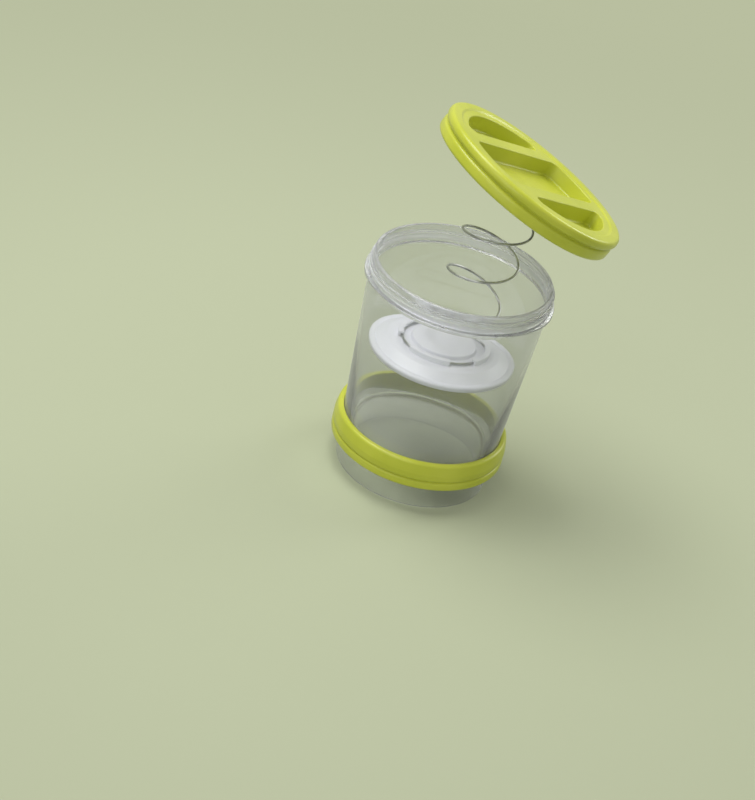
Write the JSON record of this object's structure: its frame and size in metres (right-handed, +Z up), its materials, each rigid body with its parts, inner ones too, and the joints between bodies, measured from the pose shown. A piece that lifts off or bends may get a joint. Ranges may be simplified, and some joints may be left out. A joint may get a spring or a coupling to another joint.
{
  "type": "pickle press",
  "caption": "Clear screw-top pickling jar whose lid carries a long coil spring that pushes a round plate down on the food.",
  "frame": {"origin": "middle of the whole press's plan, on the surface that the jar stands on, with the lid lifted as in the picture", "axes": "+Z up along the jar's axis, +X towards the side that the lifted lid leans down to"},
  "size_m": [0.15, 0.133, 0.2502],
  "materials": {
    "clear_plastic": "clear gloss moulded plastic",
    "lime_ring": "semi-gloss moulded plastic",
    "white_plate": "satin moulded plastic",
    "spring_steel": "bright drawn stainless wire",
    "white_seat": "satin moulded plastic",
    "lime_lid": "semi-gloss moulded plastic"
  },
  "bodies": {
    "jar": {"jar": "clear_plastic", "base_ring": "lime_ring"},
    "plate": {"press_plate": "white_plate"},
    "seat": {"spring_seat": "white_seat", "spring": "spring_steel"},
    "lid": {"lid": "lime_lid"}
  },
  "joints": [
    {"name": "plate_slide", "type": "slide", "parent": "jar", "child": "plate", "axis": [0, 0, 1], "range_m": [-0.059, 0.02], "deforming": ["spring"]},
    {"name": "lid_swing", "type": "hinge", "parent": "jar", "child": "seat", "pos_m": [0.15497, 0, 0.12307], "axis": [0, 1, 0], "range_deg": [-25.25, 0], "stiffness_Nm_per_rad": 6.4, "springref_deg": 1, "deforming": ["spring"]},
    {"name": "lid_turn", "type": "hinge", "parent": "seat", "child": "lid", "pos_m": [0.01577, 0, 0.2227], "axis": [0.4266, 0, 0.9045], "range_deg": [-720, 0]}
  ]
}
